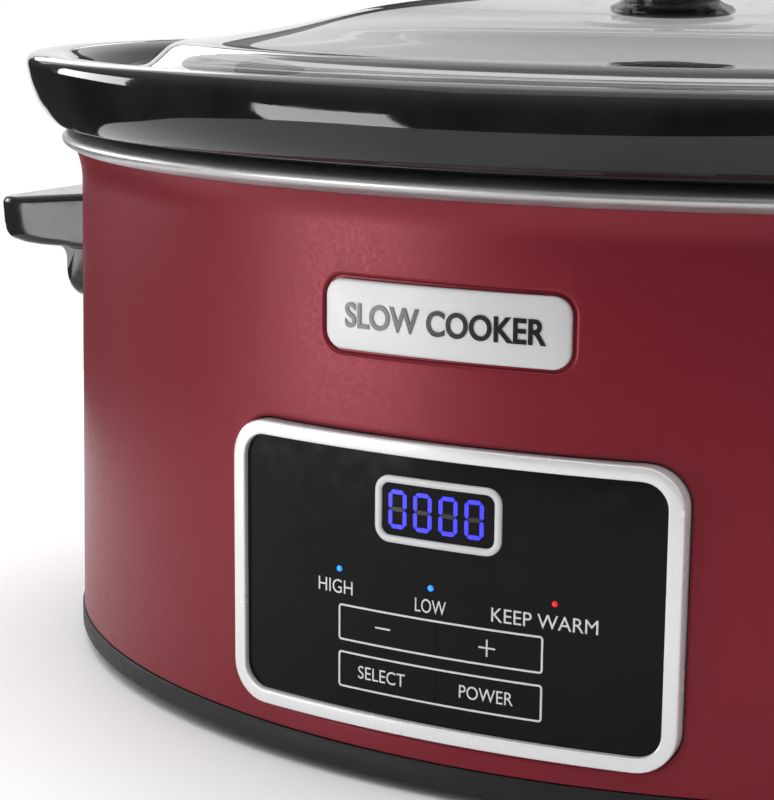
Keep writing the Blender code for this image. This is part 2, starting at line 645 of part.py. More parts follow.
def main():
    clear_scene()
    add_housing()
    add_rim()
    add_base()
    add_feet()
    add_posts()
    add_pan()
    add_heater()
    add_power_parts()
    add_panel_frame()
    add_panel_electronics()
    add_keys()
    add_name_plate()
    add_handle("handle_left", -1)
    add_handle("handle_right", 1)
    add_gland()
    add_lid(add_crock())


main()
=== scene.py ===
"""Looks for the oval digital slow cooker: smooth shells, printed panel, glass lid and studio light.

Lengths are in metres, in the frame's own axes: +X along the oval, -Y out of the front, +Z up.
Oval pieces are turned from (grow, height) points in millimetres, as the CAD's are: grow is the
distance outside the housing's lower edge, and MM turns both into metres.
"""

import json
import math

import bmesh
import bpy
import numpy as np
from mathutils import Matrix, Vector


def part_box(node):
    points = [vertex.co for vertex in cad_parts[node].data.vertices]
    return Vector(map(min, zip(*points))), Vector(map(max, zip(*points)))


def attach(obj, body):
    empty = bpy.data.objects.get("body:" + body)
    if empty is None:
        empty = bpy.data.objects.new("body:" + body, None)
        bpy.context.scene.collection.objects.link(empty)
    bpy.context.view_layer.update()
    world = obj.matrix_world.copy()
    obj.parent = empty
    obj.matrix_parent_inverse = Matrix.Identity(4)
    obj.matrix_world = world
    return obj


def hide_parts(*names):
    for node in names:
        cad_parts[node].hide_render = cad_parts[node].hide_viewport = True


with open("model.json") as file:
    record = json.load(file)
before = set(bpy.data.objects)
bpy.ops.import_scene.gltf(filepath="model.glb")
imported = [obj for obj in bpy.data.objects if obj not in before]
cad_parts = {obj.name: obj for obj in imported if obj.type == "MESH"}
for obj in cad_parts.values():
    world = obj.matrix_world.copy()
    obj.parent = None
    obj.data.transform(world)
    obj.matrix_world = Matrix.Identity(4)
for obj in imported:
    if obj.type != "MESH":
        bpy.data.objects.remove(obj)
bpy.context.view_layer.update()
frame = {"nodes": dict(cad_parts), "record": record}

MM = 0.001
AROUND = 288


def top(node):
    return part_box(node)[1].z / MM


def bottom(node):
    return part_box(node)[0].z / MM


def rear(node):
    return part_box(node)[1].y / MM


def centre_of(node):
    """The middle of a node's box, in millimetres."""
    low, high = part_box(node)
    return tuple((low[axis] + high[axis]) / 2 / MM for axis in range(3))


def front_box(node):
    """A node's x and z middle, width and height as seen from the front, in millimetres."""
    low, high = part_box(node)
    return (low.x + high.x) / 2 / MM, (low.z + high.z) / 2 / MM, (high.x - low.x) / MM, (high.z - low.z) / MM


# Driving sizes in millimetres, read from the frame
HALF_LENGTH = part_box("outer_housing")[1].x / MM
HALF_WIDTH = rear("outer_housing")
BASE_TOP = bottom("outer_housing") - 0.3
HOUSING_TOP = top("outer_housing")
LEAN = 1.9
FLARE_HEIGHT = 9.0
WALL = 1.6
RING_TOP = top("housing_rim")
PAN_TOP = top("inner_liner")
CROCK_LOW = bottom("crock")
RIM_TOP = top("crock")
LID_LOW = bottom("glass_lid")
LID_CREST = top("glass_lid")
LID_CREST_RADIUS = 25.0
LID_GROW = -14.0
GLASS = 4.0
HANDLE_REACH = 29.0
HANDLE_HALF = 46.0
HANDLE_CORNER = 12.0
FLANGE_HALF = 42.0
FLANGE_TURN = 6.0

# Name plate
PLATE_WIDTH = 64.5
PLATE_HEIGHT = 17.1
PLATE_CORNER = 4.5
PLATE_MIDDLE = (top("name_plate") + bottom("name_plate")) / 2

# Key panel, from the bezel's box
PANEL_WIDTH = 2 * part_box("panel_bezel")[1].x / MM
PANEL_HEIGHT = top("panel_bezel") - bottom("panel_bezel")
PANEL_MIDDLE = (top("panel_bezel") + bottom("panel_bezel")) / 2
PANEL_FRONT = HALF_WIDTH + 0.1
PANEL_BEND = 286.0
PANEL_CORNER = 10.0
BEZEL_BAR = 3.7
FASCIA_FRONT = 0.6
KEY_ROWS = (("minus_key", "plus_key"), ("select_key", "power_key"))
LAMPS = ("high_lamp", "low_lamp", "warm_lamp")
PRINT_HEIGHT = 0.04

# Stretches in each round corner of a rounded() outline, and the points they make
TURN_STEPS = 8
TURN_POINTS = TURN_STEPS + 1


# ---------------------------------------------------------------- mesh tools


def piece(name, points, faces, material, smooth_angle=40.0):
    """A mesh object from points in millimetres, faces turned outwards, smooth but for sharp edges."""
    mesh = bpy.data.meshes.new(name)
    mesh.from_pydata([tuple(value * MM for value in point) for point in points], [], faces)
    shape = bmesh.new()
    shape.from_mesh(mesh)
    bmesh.ops.recalc_face_normals(shape, faces=shape.faces)
    shape.to_mesh(mesh)
    shape.free()
    mesh.shade_smooth()
    mesh.set_sharp_from_angle(angle=math.radians(smooth_angle))
    mesh.materials.append(material)
    obj = bpy.data.objects.new(name, mesh)
    bpy.context.scene.collection.objects.link(obj)
    return obj


def skin(rings, closed):
    """Points and faces that skin rings of equal point counts; an open run of rings is capped."""
    count = len(rings[0])
    points = [point for ring in rings for point in ring]
    faces = []
    for step in range(len(rings) if closed else len(rings) - 1):
        low = step * count
        high = (step + 1) % len(rings) * count
        for index in range(count):
            after = (index + 1) % count
            faces.append((low + index, low + after, high + after, high + index))
    if not closed:
        faces.append(tuple(range(count - 1, -1, -1)))
        faces.append(tuple(range((len(rings) - 1) * count, len(rings) * count)))
    return points, faces


def loft(name, rings, material, closed=False, smooth_angle=40.0):
    points, faces = skin(rings, closed)
    return piece(name, points, faces, material, smooth_angle)


def through(knots, steps=6):
    """A smooth curve through 2-D knots (Catmull-Rom), with steps points for each stretch."""
    curve = []
    for index in range(len(knots) - 1):
        before = np.array(knots[max(index - 1, 0)], float)
        here = np.array(knots[index], float)
        after = np.array(knots[index + 1], float)
        beyond = np.array(knots[min(index + 2, len(knots) - 1)], float)
        for step in range(steps):
            t = step / steps
            point = 0.5 * (2 * here + (after - before) * t
                           + (2 * before - 5 * here + 4 * after - beyond) * t * t
                           + (3 * here - before - 3 * after + beyond) * t ** 3)
            curve.append(tuple(point))
    curve.append(tuple(float(value) for value in knots[-1]))
    return curve


def arc(centre, radius, start, end, steps=6):
    """Points on an arc about centre, from start to end degrees."""
    angles = [math.radians(start + (end - start) * step / steps) for step in range(steps + 1)]
    return [(centre[0] + radius * math.cos(a), centre[1] + radius * math.sin(a)) for a in angles]


def oval_ring(half_length, half_width, height, count=AROUND):
    angles = [2 * math.pi * index / count for index in range(count)]
    return [(half_length * math.cos(a), half_width * math.sin(a), height) for a in angles]


def oval(name, profile, material, closed=False, smooth_angle=40.0):
    rings = [oval_ring(HALF_LENGTH + grow, HALF_WIDTH + grow, height) for grow, height in profile]
    return loft(name, rings, material, closed, smooth_angle)


def turned(name, profile, centre, material, axis="z", count=64, closed=False):
    """A piece turned about an axis through centre, from (radius, place) points."""
    rings = []
    for radius, place in profile:
        ring = []
        for index in range(count):
            angle = 2 * math.pi * index / count
            u = radius * math.cos(angle)
            v = radius * math.sin(angle)
            offset = {"x": (place, u, v), "y": (u, place, v), "z": (u, v, place)}[axis]
            ring.append(tuple(a + b for a, b in zip(centre, offset)))
        rings.append(ring)
    return loft(name, rings, material, closed)


def rounded(width, height, radius, middle=0.0, centre=0.0, turn_steps=TURN_STEPS, edge_steps=24):
    """(x, z) points round a rectangle with round corners, its long edges split so that it can bend."""
    outline = []
    for side, rise, start in ((1, -1, -90), (1, 1, 0), (-1, 1, 90), (-1, -1, 180)):
        middle_x = centre + side * (width / 2 - radius)
        middle_z = middle + rise * (height / 2 - radius)
        outline += arc((middle_x, middle_z), radius, start, start + 90, turn_steps)
        if side == rise:
            span = width - 2 * radius
            for step in range(1, edge_steps):
                outline.append((middle_x - side * span * step / edge_steps, middle + rise * height / 2))
    return outline


def panel_y(x, depth=0.0):
    return -PANEL_FRONT + x * x / (2 * PANEL_BEND) + depth


def wall_grow(height):
    """How far the housing wall stands outside its lower edge at a height: it leans in, then flares."""
    share = (height - BASE_TOP) / (HOUSING_TOP - BASE_TOP)
    flare = max(0.0, (height - (HOUSING_TOP - FLARE_HEIGHT)) / FLARE_HEIGHT)
    return -LEAN * min(share, 1.0) + LEAN * flare ** 2


def wall_y(x, height, depth=0.0):
    grow = wall_grow(height)
    return -(HALF_WIDTH + grow) * math.sqrt(1 - (x / (HALF_LENGTH + grow)) ** 2) + depth


def bent_plate(name, width, height, radius, middle, near, far, surface, material, steps=60, centre=0.0):
    """A rounded plate between two depths behind a curved surface, in upright strips."""
    straight = width / 2 - radius
    turn = [radius * math.sin(math.radians(90 * step / TURN_STEPS)) for step in range(TURN_STEPS, 0, -1)]
    places = [-straight - reach for reach in turn]
    places += [straight * (2 * step / steps - 1) for step in range(steps + 1)]
    places += [straight + reach for reach in reversed(turn)]
    points = []
    for x in places:
        reach = max(abs(x) - straight, 0.0)
        half = height / 2 - radius + math.sqrt(max(radius * radius - reach * reach, 0.0))
        for depth in (near, far):
            for height_here in (middle - half, middle + half):
                points.append((centre + x, surface(centre + x, height_here) + depth, height_here))
    faces = []
    for step in range(len(places) - 1):
        here = step * 4
        for first, second in ((0, 1), (1, 3), (3, 2), (2, 0)):
            faces.append((here + first, here + second, here + 4 + second, here + 4 + first))
    last = (len(places) - 1) * 4
    faces.append((0, 2, 3, 1))
    faces.append((last, last + 1, last + 3, last + 2))
    return piece(name, points, faces, material)


def cut(obj, cutter):
    """Subtracts a cutter for good, and removes it."""
    step = obj.modifiers.new("cut", "BOOLEAN")
    step.object = cutter
    step.solver = "EXACT"
    bpy.context.view_layer.update()
    graph = bpy.context.evaluated_depsgraph_get()
    mesh = bpy.data.meshes.new_from_object(obj.evaluated_get(graph))
    obj.modifiers.clear()
    obj.data = mesh
    mesh.set_sharp_from_angle(angle=math.radians(40))
    bpy.data.objects.remove(cutter)


def settle(obj, body, slot, *nodes):
    """The piece rides on a body and stands for CAD nodes, which it hides. The slot is not used."""
    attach(obj, body)
    if nodes:
        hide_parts(*nodes)
    return obj


# ---------------------------------------------------------------- materials


class Surface:
    """A Principled material whose colour, roughness and bump come from noise in the piece's own space."""

    def __init__(self, name, roughness=0.4, metallic=0.0, **sockets):
        self.material = bpy.data.materials.new(name)
        self.material.use_nodes = True
        self.tree = self.material.node_tree
        self.shader = self.tree.nodes["Principled BSDF"]
        self.shader.inputs["Roughness"].default_value = roughness
        self.shader.inputs["Metallic"].default_value = metallic
        for socket, value in sockets.items():
            self.shader.inputs[socket.replace("_", " ")].default_value = value
        self.coordinates = self.tree.nodes.new("ShaderNodeTexCoord")
        self.normal = None

    def node(self, kind, **values):
        """A new shader node with the given values on its sockets."""
        made = self.tree.nodes.new(f"ShaderNode{kind}")
        for socket, value in values.items():
            made.inputs[socket.replace("_", " ")].default_value = value
        return made

    def noise(self, scale, detail=3.0, stretch=(1, 1, 1)):
        mapping = self.node("Mapping", Scale=stretch)
        texture = self.node("TexNoise", Scale=scale, Detail=detail)
        self.tree.links.new(self.coordinates.outputs["Object"], mapping.inputs["Vector"])
        self.tree.links.new(mapping.outputs["Vector"], texture.inputs["Vector"])
        return texture.outputs["Fac"]

    def colour(self, factor, first, second, low=0.35, high=0.65, socket="Base Color"):
        ramp = self.node("ValToRGB")
        for step, place, tone in zip(ramp.color_ramp.elements, (low, high), (first, second)):
            step.position = place
            step.color = (*tone, 1)
        self.tree.links.new(factor, ramp.inputs["Fac"])
        self.tree.links.new(ramp.outputs["Color"], self.shader.inputs[socket])
        return self

    def roughness(self, factor, low, high):
        scale = self.node("MapRange", From_Min=0.3, From_Max=0.7, To_Min=low, To_Max=high)
        self.tree.links.new(factor, scale.inputs["Value"])
        self.tree.links.new(scale.outputs["Result"], self.shader.inputs["Roughness"])
        return self

    def bump(self, factor, distance, strength=1.0):
        bump = self.node("Bump", Strength=strength, Distance=distance)
        self.tree.links.new(factor, bump.inputs["Height"])
        if self.normal:
            self.tree.links.new(self.normal, bump.inputs["Normal"])
        self.normal = bump.outputs["Normal"]
        self.tree.links.new(self.normal, self.shader.inputs["Normal"])
        return self


def red_enamel():
    """Satin dark red metallic enamel: fine flake, a slight orange peel and slow tone changes."""
    made = Surface("red_enamel", 0.40, 0.30, Coat_Weight=0.08, Coat_Roughness=0.30, Specular_IOR_Level=0.22)
    made.colour(made.noise(9, 2), (0.190, 0.011, 0.021), (0.212, 0.014, 0.025))
    made.roughness(made.noise(900, 2), 0.36, 0.46)
    made.bump(made.noise(1400, 2), 0.00002, 0.5)
    return made.bump(made.noise(260, 2), 0.00002, 0.35).material


def satin_steel(name, tone, rough, metallic=1.0):
    """Steel with a fine satin grain that runs level."""
    made = Surface(name, rough, metallic)
    grain = made.noise(110, 4, (0.8, 0.8, 9))
    made.colour(grain, (tone * 0.95,) * 3, (tone * 1.03, tone * 1.03, tone * 1.04))
    made.roughness(grain, rough - 0.04, rough + 0.06)
    return made.bump(grain, 0.00001, 0.3).material


def silver_paint(name, tone, rough, coat=0.0):
    """Silver lacquer: pale, part metal, with a slow change of tone; a coat makes it look plated."""
    made = Surface(name, rough, 0.25, Coat_Weight=coat, Coat_Roughness=0.04)
    made.colour(made.noise(30, 2), (tone * 0.97, tone * 0.97, tone * 0.98), (tone, tone, tone * 1.01))
    made.roughness(made.noise(160, 2), rough - 0.03, rough + 0.03)
    return made.bump(made.noise(90, 1), 0.00002, 0.15).material


def black_glaze():
    """Deep gloss black glaze: pooled tone changes, a faint ripple and rare pinholes."""
    made = Surface("black_glaze", 0.05, 0.0, Specular_IOR_Level=0.40)
    made.colour(made.noise(40, 3), (0.006, 0.006, 0.0065), (0.013, 0.013, 0.014))
    made.roughness(made.noise(160, 3), 0.03, 0.08)
    made.bump(made.noise(22, 2), 0.0004, 0.10)
    return made.bump(made.noise(500, 2), 0.00002, 0.25).material


def clear_glass():
    """Pressed glass: clear, with the faint uneven tint of its thickness and a slight haze of fine wear."""
    made = Surface("clear_glass", 0.0, 0.0, Transmission_Weight=1.0, IOR=1.5)
    made.colour(made.noise(12, 1), (0.93, 0.95, 0.95), (0.96, 0.97, 0.97))
    return made.roughness(made.noise(60, 3), 0.0, 0.02).material


def plastic(name, tone, rough, grain=1200, depth=0.00003, tint=(1.0, 1.0, 1.0), shine=0.5):
    """Moulded plastic: even tone with a fine surface grain."""
    made = Surface(name, rough, Specular_IOR_Level=shine)
    low = tuple(tone * 0.9 * part for part in tint)
    high = tuple(tone * 1.12 * part for part in tint)
    made.colour(made.noise(45, 3), low, high)
    made.roughness(made.noise(grain / 3, 3), max(rough - 0.05, 0.02), rough + 0.06)
    return made.bump(made.noise(grain, 2), depth, 0.4).material


def printed_ink(name, tone, rough=0.45):
    made = Surface(name, rough)
    made.colour(made.noise(800, 2), (tone * 0.93,) * 3, (tone,) * 3)
    return made.bump(made.noise(2500, 2), 0.00001, 0.3).material


def lit(name, colour, strength):
    """A lit lamp or display segment, a little uneven like light through a diffuser."""
    made = Surface(name, 0.3, 0.0, Emission_Strength=strength)
    factor = made.noise(900, 2)
    made.colour(factor, tuple(part * 0.8 for part in colour), colour)
    made.colour(factor, tuple(part * 0.75 for part in colour), colour, 0.0, 1.0, "Emission Color")
    return made.material


# ---------------------------------------------------------------- shells


def add_housing(material):
    """The enamelled sleeve, with rolled edges round the panel's opening and the name plate's pocket."""
    heights = np.linspace(BASE_TOP + 0.3, HOUSING_TOP - FLARE_HEIGHT, 12).tolist()
    heights += np.linspace(HOUSING_TOP - FLARE_HEIGHT, HOUSING_TOP, 10)[1:].tolist()
    outer = [(wall_grow(height), height) for height in heights]
    inner = [(grow - WALL, height) for grow, height in reversed(outer)]
    housing = oval("housing_shell", outer + inner, material, closed=True)
    roll = 1.2
    for tag, width, height, corner, middle, outset, depth in (
            ("panel", PANEL_WIDTH, PANEL_HEIGHT, PANEL_CORNER, PANEL_MIDDLE, 0.12, 6.0),
            ("plate", PLATE_WIDTH, PLATE_HEIGHT, PLATE_CORNER, PLATE_MIDDLE, 0.7, 0.8)):
        sections = [(outset + roll * 2.2, -2.0), (outset + roll * 1.05, -0.03)]
        sections += [(outset + roll * (1 - math.sin(a)), roll * (1 - math.cos(a)) * min(1.0, depth / roll))
                     for a in np.radians((12, 30, 50, 70, 90))]
        sections.append((outset, max(depth, roll * min(1.0, depth / roll) + 0.01)))
        rings = []
        for spread, sink in sections:
            outline = rounded(width + 2 * spread, height + 2 * spread, corner + spread, middle)
            rings.append([(x, wall_y(x, z) + sink, z) for x, z in outline])
        cut(housing, piece(f"{tag}_cutter", *fan_skin(rings), material))
    settle(housing, "housing_body", "red_steel", "outer_housing")


def fan_skin(rings):
    """Points and faces that skin rounded() outlines, both ends closed in upright, bent strips."""
    count = len(rings[0])
    points, faces = skin(rings, True)
    faces = faces[:-count]
    pairs = end_pairs(count)
    for ring_index, flip in ((0, False), (len(rings) - 1, True)):
        start = ring_index * count
        for (a, b), (c, d) in zip(pairs, pairs[1:]):
            face = [start + a, start + b, start + d, start + c]
            faces.append(tuple(dict.fromkeys(reversed(face) if flip else face)))
    return points, faces


def end_pairs(count):
    """Matching lower and upper points of a rounded() outline, from its right end to its left."""
    turn = TURN_POINTS
    edge = (count - 4 * turn) // 2
    lower_right = list(range(turn - 1, -1, -1))
    upper_right = list(range(turn, 2 * turn))
    upper_edge = list(range(2 * turn, 2 * turn + edge))
    upper_left = list(range(2 * turn + edge, 3 * turn + edge))
    lower_left = list(range(4 * turn + edge - 1, 3 * turn + edge - 1, -1))
    lower_edge = list(range(count - 1, 4 * turn + edge - 1, -1))
    return list(zip(lower_right + lower_edge + lower_left, upper_right + upper_edge + upper_left))


def add_rim(material):
    """The rolled steel ring: it flares out from the enamel, then rolls over inwards below the crock's lip."""
    roll = through([(-0.1, HOUSING_TOP + 0.04), (0.9, 146.8), (2.4, 147.6), (3.4, 148.4), (3.85, 149.3),
                    (3.6, 150.3), (2.7, 151.2), (1.3, 151.9), (-0.6, 152.5), (-3.0, RING_TOP - 0.15),
                    (-5.0, RING_TOP - 0.05)])
    inside = PAN_TOP + 0.3
    profile = roll + [(-15.5, RING_TOP - 0.05), (-15.5, inside), (-0.9, inside), (-0.9, HOUSING_TOP + 0.3)]
    settle(oval("rim_ring", profile, material, closed=True), "housing_body", "satin_steel", "housing_rim")


def add_base(material):
    """The base tray, with a round lower edge, vent slots and its inner wall."""
    low = bottom("base_tray")
    floor = low + 2.5
    profile = [(-0.9, low)] + arc((-0.4, low + 1.0), 1.0, -90, 0, 6) + [(0.6, BASE_TOP - 0.4)]
    profile += [(0.35, BASE_TOP), (-2.4, BASE_TOP), (-2.4, 14.2), (-4.2, 14.2), (-4.2, floor)]
    tray = oval("base_shell", profile, material)
    for index in range(7):
        x = (index - 3) * 12.0
        outline = [(x - 2, -22), *arc((x, -22), 2, 180, 360, 8), *arc((x, 22), 2, 0, 180, 8)]
        rings = [[(u, v, height) for u, v in outline[1:]] for height in (low - 3, floor + 3)]
        cut(tray, loft(f"slot_{index}", rings, material))
    for node in [name for name in frame["nodes"] if name.startswith(("foot_", "base_screw_"))]:
        centre = (*centre_of(node)[:2], low)
        radius = 3.3 if node.startswith("foot_") else 2.3
        cut(tray, turned(f"{node}_hole", [(radius, -1), (radius, 5)], centre, material, count=32))
    settle(tray, "housing_body", "black_matt", "base_tray")


def add_pan(material):
    """The pressed heating pan, with a round turn at its floor and a flange under the ring."""
    low = bottom("inner_liner")
    out = -16.0
    inner = out - 1.0
    outside = [(out - 9.0, low)] + arc((out - 7.0, low + 7.0), 7.0, -90, 0, 8)
    flange = [(out, PAN_TOP - 1.0), (-3.0, PAN_TOP - 1.0), (-3.0, PAN_TOP), (inner + 0.6, PAN_TOP),
              (inner, PAN_TOP - 0.8)]
    inside = arc((out - 7.0, low + 7.0), 6.0, 0, -90, 8) + [(out - 9.0, low + 1.0)]
    settle(oval("pan", outside + flange + inside, material), "housing_body", "bare_steel", "inner_liner")


def add_crock(material):
    """The crock: a rounded lip, fuller along its sides than at its ends, a ledge and a deep bowl.

    The lip's face is given twice, at the oval's ends and at its sides, and passes smoothly between.
    """
    foot = [(-42.0, CROCK_LOW), (-33.0, CROCK_LOW)]
    foot += through([(-31.0, CROCK_LOW + 0.3), (-27.0, 34.6), (-24.4, 41.0), (-23.2, 52.0)])
    underside = [(-19.8, 118.0), (-18.8, RING_TOP + 1.5), (-17.8, RING_TOP + 0.3), (2.2, RING_TOP + 0.3)]
    end_face = through([(3.0, RING_TOP + 0.3), (3.9, RING_TOP + 0.6), (6.0, 154.9), (8.5, 158.0),
                        (10.3, 161.0), (11.4, 163.8), (12.4, 166.6), (13.2, 169.4), (13.7, 171.6),
                        (13.4, 172.8), (12.4, 173.6), (10.6, RIM_TOP)], 5)
    side_face = through([(4.6, RING_TOP + 0.5), (5.9, RING_TOP + 0.9), (7.6, 154.5), (9.8, 156.4),
                         (11.9, 159.2), (13.3, 162.4), (13.85, 165.0), (13.85, 167.4), (13.6, 170.0),
                         (13.1, 172.0), (12.2, 173.3), (10.2, RIM_TOP)], 5)
    crown = through([(6.5, RIM_TOP), (2.6, RIM_TOP - 0.5), (-0.2, 171.9), (-1.8, 169.2), (-2.8, 167.0)], 5)
    ledge = arc((-4.4, LID_LOW + 1.2), 1.5, -20, -90, 4) + [(-20.5, LID_LOW - 0.3)]
    bowl = through([(-22.4, LID_LOW - 0.6), (-24.4, 163.6), (-25.6, 158.0), (-27.2, 118.0), (-30.2, 56.0),
                    (-32.6, 46.0), (-38.0, 40.6), (-48.0, 39.1)], 6)
    before, after = foot + underside, crown + ledge + bowl
    at_ends, at_sides = before + end_face + after, before + side_face + after
    rings = []
    for (end_grow, end_height), (side_grow, side_height) in zip(at_ends, at_sides):
        ring = []
        for index in range(AROUND):
            angle = 2 * math.pi * index / AROUND
            share = math.sin(angle) ** 2
            grow = end_grow + (side_grow - end_grow) * share
            height = end_height + (side_height - end_height) * share
            x = (HALF_LENGTH + grow) * math.cos(angle)
            ring.append((x, (HALF_WIDTH + grow) * math.sin(angle), height))
        rings.append(ring)
    settle(loft("stoneware_crock", rings, material), "crock_body", "black_glaze", "crock")


def lid_ring(share, height):
    """A ring that passes from the lid's oval edge (share 1) to its crest circle (share 0)."""
    half_length = LID_CREST_RADIUS + share * (HALF_LENGTH + LID_GROW - LID_CREST_RADIUS)
    half_width = LID_CREST_RADIUS + share * (HALF_WIDTH + LID_GROW - LID_CREST_RADIUS)
    return oval_ring(half_length, half_width, height)


def add_lid(glass):
    """The pressed glass lid: ground brim, steep shoulder, long sweep and a steep recess in the middle."""
    low = LID_LOW
    brim_top = low + GLASS
    floor = bottom("knob_washer") - 0.3
    brim = [(1.0, low + 1.0), (1.0, brim_top - 1.2), (0.995, brim_top - 0.3)]
    shoulder = [(0.935, 171.3), (0.902, 175.0), (0.885, 176.3), (0.862, 177.0)]
    sweep = [(0.8, 177.7), (0.62, 181.9), (0.42, 187.8), (0.2, 191.5), (0.06, 192.85)]
    over = through([(0.985, brim_top), (0.955, brim_top + 0.2), *shoulder, *sweep, (0.0, LID_CREST)])
    recess = through([(LID_CREST_RADIUS, LID_CREST), (22.8, 192.6), (21.0, 190.6), (19.8, 188.4),
                      (18.4, floor + 0.6), (16.5, floor)])[1:]
    back = through([(14.0, floor - GLASS), (18.6, 182.9), (21.6, 184.4), (22.9, 186.4), (24.0, 188.2),
                    (27.5, 189.1)])
    under = through([(0.03, 189.1), *((share, height - GLASS) for share, height in reversed(sweep)),
                     (0.845, 173.5), (0.868, 172.8), (0.882, 171.6), (0.905, 169.0), (0.925, low + 0.5),
                     (0.955, low)])
    rings = [lid_ring(share, height) for share, height in brim + over]
    rings += [oval_ring(radius, radius, height) for radius, height in recess]
    rings += [oval_ring(3.2, 3.2, height) for height in (floor, floor - GLASS)]
    rings += [oval_ring(radius, radius, height) for radius, height in back]
    rings += [lid_ring(share, height) for share, height in under + [(0.99, low)]]
    settle(loft("lid_glass", rings, glass, closed=True), "lid_body", "clear_glass", "glass_lid")


def add_knob(gloss, rubber, steel):
    """The flanged round knob, its rubber washer below and the screw that holds it from inside the lid."""
    low = bottom("lid_knob")
    high = top("lid_knob")
    stem = [(4.1, low), (4.5, low + 0.3), (4.5, low + 1.0), (17.6, low + 1.0)]
    skirt = arc((17.9, low + 1.7), 0.7, -80, 0, 5) + [(18.6, low + 2.6)]
    skirt += through([(18.3, low + 3.3), (16.2, low + 4.6), (13.6, low + 7.0), (12.6, low + 10.5),
                      (12.9, low + 14.5), (15.2, low + 18.6), (18.0, low + 21.6)])
    grip = through([(18.95, low + 24.6), (18.4, high - 6.6), (16.2, high - 3.0), (11.0, high - 0.9),
                    (5.0, high - 0.1), (0.4, high)])
    knob = turned("knob", stem + skirt + grip, (0, 0, 0), gloss, count=96)
    settle(knob, "lid_body", "knob_plastic", "lid_knob")
    low, high = bottom("knob_washer"), top("knob_washer")
    half = (high - low) / 2
    washer = [(3.2, low), *arc((4.5 - half, low + half), half, -90, 90, 8), (3.2, high)]
    settle(turned("seal_washer", washer, (0, 0, 0), rubber, closed=True), "lid_body", "rubber", "knob_washer")
    low = bottom("knob_screw")
    seat = low + 1.8
    head = [(0.3, low), (2.4, low + 0.05), (3.6, low + 0.5), (4.3, low + 1.2), (4.3, seat), (1.9, seat),
            (1.9, top("knob_screw"))]
    settle(turned("knob_bolt", head, (0, 0, 0), steel, count=48), "lid_body", "bare_steel", "knob_screw")


def handle_section(y, inset):
    """The grip's (x, z) outline at one place along it: a ledge above, a flange below on the wall."""
    top_wall, lip, low, flange_low = 129.0, 126.3, 112.5, 96.5
    side = max(abs(y) - (HANDLE_HALF - HANDLE_CORNER), 0.0)
    round_off = math.sqrt(max(HANDLE_CORNER ** 2 - side ** 2, 0.0))
    reach = HALF_LENGTH + HANDLE_REACH - HANDLE_CORNER + round_off - inset
    flange_side = max(abs(y) - (FLANGE_HALF - FLANGE_TURN), 0.0)
    if flange_side < FLANGE_TURN:
        drop = flange_low + FLANGE_TURN - math.sqrt(FLANGE_TURN ** 2 - flange_side ** 2)
        flange = HALF_LENGTH + 1.5
    else:
        drop = low + inset - 0.5
        flange = HALF_LENGTH - 2.0
    wall = (HALF_LENGTH - 0.9) * math.sqrt(1 - (y / (HALF_WIDTH - 0.9)) ** 2) + 0.3
    slope = (top_wall - lip) / HANDLE_REACH
    lip_top = top_wall - slope * (reach - HALF_LENGTH) - inset
    nose = 2.6
    outline = [(wall, top_wall + slope * (HALF_LENGTH - wall) - inset)]
    outline += [(reach - nose, lip_top + slope * nose)]
    outline += arc((reach - nose, lip_top + slope * nose - nose), nose, 85, 8, 6)
    tuck = 4.0
    outline += [(reach - 0.5, low + 6.0 + inset)]
    outline += arc((reach - tuck - 0.8, low + 5.2 + inset), tuck, 0, -75, 6)
    outline += through([(reach - 8.0, low + 0.4 + inset), (reach - 14.0, low + inset)], 3)
    fillet = 3.5
    toe = 0.3
    outline += [(flange + fillet, low + inset)]
    if drop < low - 5:
        outline += arc((flange + fillet, low - fillet + inset), fillet, 90, 180, 5)
        toe = min(3.0, max(toe, low - drop - fillet - 1.0))
    else:
        outline += [(flange + fillet * (1 - step / 6), low + inset - 0.02 * step) for step in range(1, 7)]
    outline += arc((flange - toe, drop + toe), toe, 0, -90, 5)
    outline += [(min(wall + 0.3, flange - toe - 0.2), drop)]
    return outline


def add_handle(name, side, material):
    """A moulded grip, lofted along Y through sections that follow its rounded plan."""
    nose = 2.4
    stations = [(HANDLE_HALF - nose + nose * math.sin(turn), nose * (1 - math.cos(turn)))
                for turn in np.radians((90, 72, 54, 36, 18, 0))]
    inner = [HANDLE_HALF - nose - step for step in (0.8, 1.2, 1.55)] + [FLANGE_HALF + 0.01, FLANGE_HALF - 0.02]
    inner += [FLANGE_HALF - FLANGE_TURN * (1 - math.sin(math.radians(a))) for a in (70, 50, 30, 15, 0)]
    inner += np.linspace(FLANGE_HALF - 7.5, 0.0, 12).tolist()
    stations += [(y, 0.0) for y in inner]
    stations += [(-y, inset) for y, inset in reversed(stations[:-1])]
    rings = []
    for y, inset in stations:
        rings.append([(side * x, y, z) for x, z in handle_section(y, inset)])
    grip = loft(f"{name}_grip", rings, material, smooth_angle=50)
    settle(grip, "housing_body", "handle_plastic", name)


# ---------------------------------------------------------------- key panel


